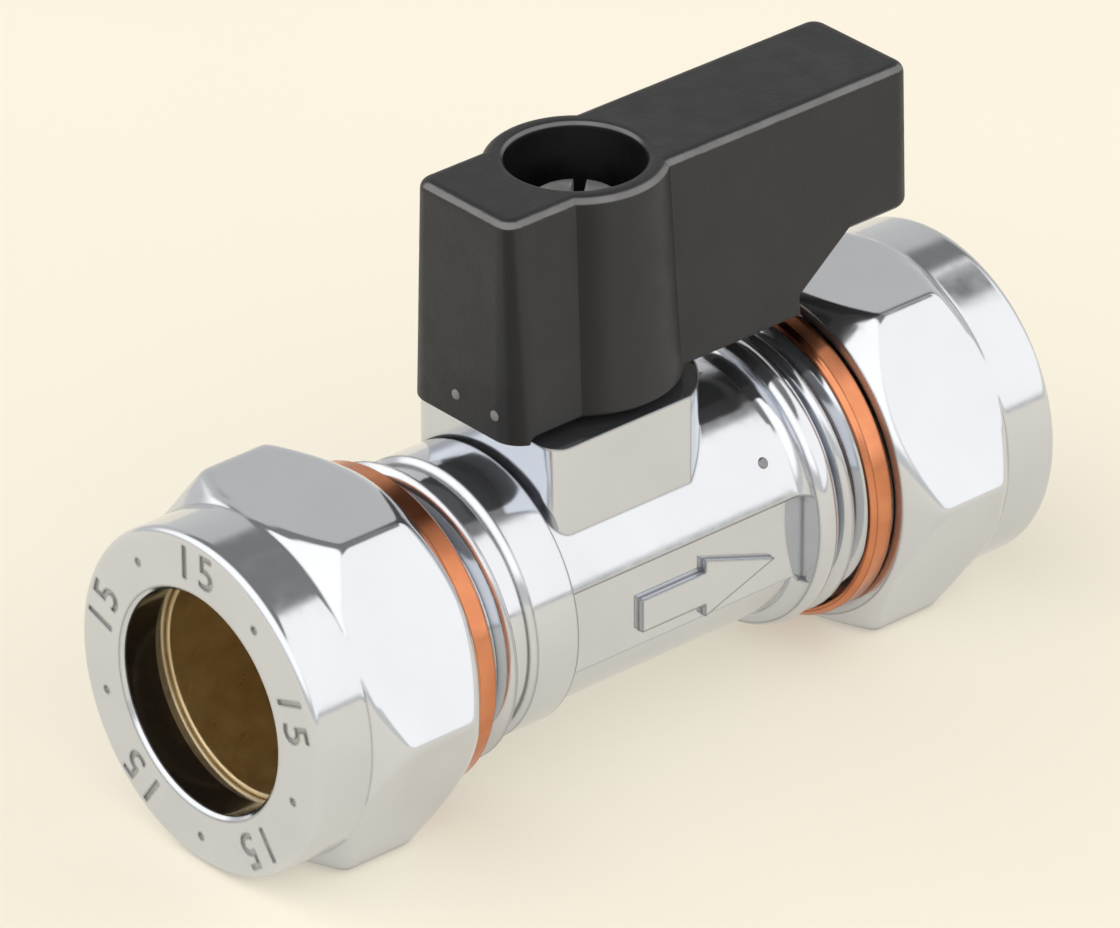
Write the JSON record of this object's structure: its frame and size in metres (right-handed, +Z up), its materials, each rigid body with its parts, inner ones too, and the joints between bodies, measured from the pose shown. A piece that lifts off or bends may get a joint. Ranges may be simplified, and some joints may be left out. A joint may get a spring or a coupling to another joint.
{
  "type": "isolating valve",
  "caption": "Quarter-turn isolating ball valve with a compression nut at each end, chrome finish, copper rings on the threads and a black lever on top, shown open.",
  "frame": {"origin": "centre of the ball, where the pipe axis and the spindle axis cross", "axes": "+X along the pipe from the inlet to the outlet, as the arrow points; +Z up the spindle to the lever; the arrow is on the -Y side"},
  "size_m": [0.0642, 0.0274, 0.0404],
  "materials": {
    "chrome": "bright chrome plate on brass",
    "ball_chrome": "polished chrome plate",
    "brass": "machined brass",
    "olive_brass": "soft brass, turned",
    "copper": "bright copper colour",
    "black_plastic": "moulded, satin",
    "seat_plastic": "smooth white",
    "seal_rubber": "matt black",
    "steel": "zinc plated"
  },
  "bodies": {
    "casing": {"valve_body": "chrome", "seat_retainer": "brass", "ball_seat_inlet": "seat_plastic", "ball_seat_outlet": "seat_plastic", "seat_o_ring_inlet": "seal_rubber", "seat_o_ring_outlet": "seal_rubber", "spindle_thrust_washer": "seat_plastic"},
    "lever": {"handle": "black_plastic", "handle_washer": "steel", "handle_screw": "steel", "spindle": "brass", "spindle_o_ring_lower": "seal_rubber", "spindle_o_ring_upper": "seal_rubber", "ball": "ball_chrome"},
    "inlet_rings": {"olive_inlet": "olive_brass", "copper_ring_inlet": "copper"},
    "inlet_nut": {"nut_inlet": "chrome"},
    "outlet_rings": {"olive_outlet": "olive_brass", "copper_ring_outlet": "copper"},
    "outlet_nut": {"nut_outlet": "chrome"}
  },
  "joints": [
    {"name": "lever_turn", "type": "hinge", "parent": "casing", "child": "lever", "pos_m": [0, 0, 0], "axis": [0, 0, 1], "range_deg": [-90, 0]},
    {"name": "inlet_nut_travel", "type": "slide", "parent": "casing", "child": "inlet_rings", "axis": [1, 0, 0], "range_m": [-0.00544, 0]},
    {"name": "inlet_nut_turn", "type": "hinge", "parent": "inlet_rings", "child": "inlet_nut", "pos_m": [-0.026, 0, 0], "axis": [1, 0, 0], "range_deg": [-1080, 0]},
    {"name": "outlet_nut_travel", "type": "slide", "parent": "casing", "child": "outlet_rings", "axis": [1, 0, 0], "range_m": [0, 0.00544]},
    {"name": "outlet_nut_turn", "type": "hinge", "parent": "outlet_rings", "child": "outlet_nut", "pos_m": [0.026, 0, 0], "axis": [1, 0, 0], "range_deg": [0, 1080]}
  ],
  "couplings": [
    {"joint": "inlet_nut_turn", "follows": "inlet_nut_travel", "rad_per_m": 3463.7},
    {"joint": "outlet_nut_turn", "follows": "outlet_nut_travel", "rad_per_m": 3463.7}
  ]
}
